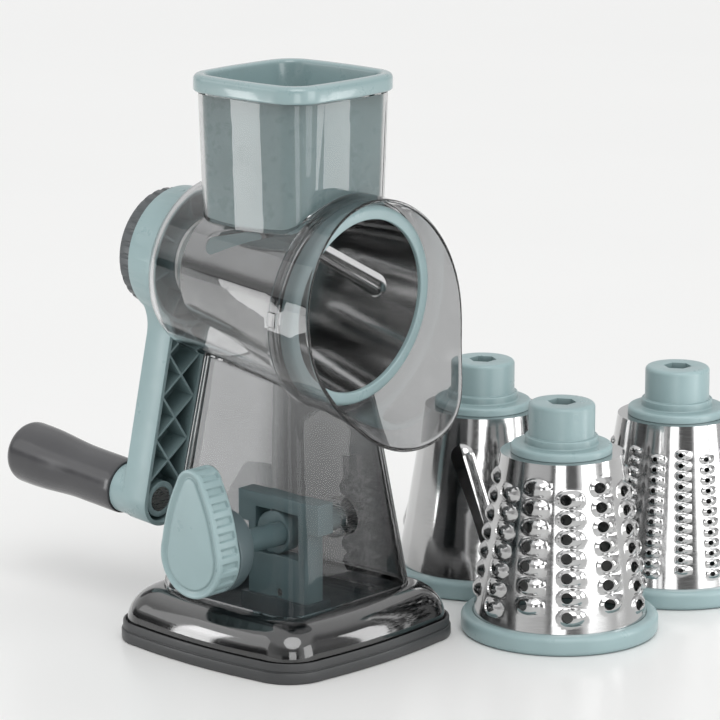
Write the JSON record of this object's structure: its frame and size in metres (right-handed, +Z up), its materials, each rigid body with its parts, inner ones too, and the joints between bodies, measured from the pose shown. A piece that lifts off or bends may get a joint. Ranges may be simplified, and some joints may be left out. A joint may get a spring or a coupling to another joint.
{
  "type": "rotary vegetable shredder",
  "caption": "Hand-cranked drum shredder with a clear barrel, feed chute, food pusher and mouth guard on a lever suction base, with interchangeable grating drums.",
  "frame": {"origin": "centre of the base's underside, on the counter", "axes": "+Z up; the drum's mouth faces -Y and its axis rises 5 degrees towards +Y, where the crank turns; the suction knob is on the -X side"},
  "size_m": [0.326, 0.3206, 0.29],
  "materials": {
    "foot_rubber": "satin",
    "dark_plastic": "satin",
    "screw_steel": "turned",
    "smoke_plastic": "clear, smoked, polished",
    "clear_plastic": "clear, slightly smoked, polished",
    "white_plastic": "satin",
    "teal_plastic": "satin moulded",
    "deep_teal_plastic": "satin moulded",
    "soft_rubber": "smooth",
    "bearing_metal": "satin",
    "grip_plastic": "soft touch",
    "polished_steel": "polished"
  },
  "bodies": {
    "stand": {"base_foot": "foot_rubber", "base_plate": "dark_plastic", "base_screws": "screw_steel", "stand_skirt": "smoke_plastic", "stand_column": "clear_plastic", "drum_barrel": "clear_plastic", "feed_chute": "clear_plastic", "journal_bush": "white_plastic", "knob_seat": "dark_plastic", "shaft_bearing": "bearing_metal", "slicing_drum_cone": "polished_steel", "slicing_drum_ring": "teal_plastic", "slicing_drum_hub": "teal_plastic", "coarse_drum_cone": "polished_steel", "coarse_drum_ring": "teal_plastic", "coarse_drum_hub": "teal_plastic", "fine_drum_cone": "polished_steel", "fine_drum_ring": "teal_plastic", "fine_drum_hub": "teal_plastic"},
    "crank": {"crank_arm": "teal_plastic", "grip_axle": "screw_steel", "grip_screw": "screw_steel"},
    "grip": {"grip": "grip_plastic", "grip_cap": "dark_plastic"},
    "lock_knob": {"lock_knob": "dark_plastic", "lock_stud": "screw_steel"},
    "drum": {"mounted_drum_cone": "polished_steel", "mounted_drum_ring": "teal_plastic", "mounted_drum_hub": "teal_plastic"},
    "suction_lever": {"egg_knob": "teal_plastic", "cam_shaft": "deep_teal_plastic", "lift_cam": "deep_teal_plastic"},
    "suction_lift": {"lift_yoke": "deep_teal_plastic", "lift_pin": "screw_steel", "suction_pad": "soft_rubber"},
    "food_pusher": {"food_pusher": "teal_plastic"},
    "front_guard": {"front_guard": "clear_plastic"}
  },
  "joints": [
    {"name": "crank_turn", "type": "hinge", "parent": "stand", "child": "crank", "pos_m": [0, 0, 0.1832], "axis": [0, 0.9962, 0.0872], "continuous": true},
    {"name": "grip_turn", "type": "hinge", "parent": "crank", "child": "grip", "pos_m": [-0.01781, 0.10071, 0.06477], "axis": [0, 0.9962, 0.0872], "continuous": true},
    {"name": "lock_turn", "type": "hinge", "parent": "crank", "child": "lock_knob", "pos_m": [0, 0, 0.1832], "axis": [0, 0.9962, 0.0872], "range_deg": [0, 90]},
    {"name": "drum_pull", "type": "slide", "parent": "crank", "child": "drum", "axis": [0, -0.9962, -0.0872], "range_m": [0, 0.11]},
    {"name": "suction_turn", "type": "hinge", "parent": "stand", "child": "suction_lever", "pos_m": [0, 0, 0.055], "axis": [1, 0, 0], "range_deg": [0, 90]},
    {"name": "suction_rise", "type": "slide", "parent": "stand", "child": "suction_lift", "axis": [0, 0, 1], "range_m": [0, 0.003]},
    {"name": "pusher_lift", "type": "slide", "parent": "stand", "child": "food_pusher", "axis": [0, 0, 1], "range_m": [0, 0.07]},
    {"name": "guard_pull", "type": "slide", "parent": "stand", "child": "front_guard", "axis": [0, -0.9962, -0.0872], "range_m": [0, 0.05]}
  ],
  "couplings": [
    {"joint": "suction_rise", "follows": "suction_turn", "m_per_rad": 0.0019}
  ]
}
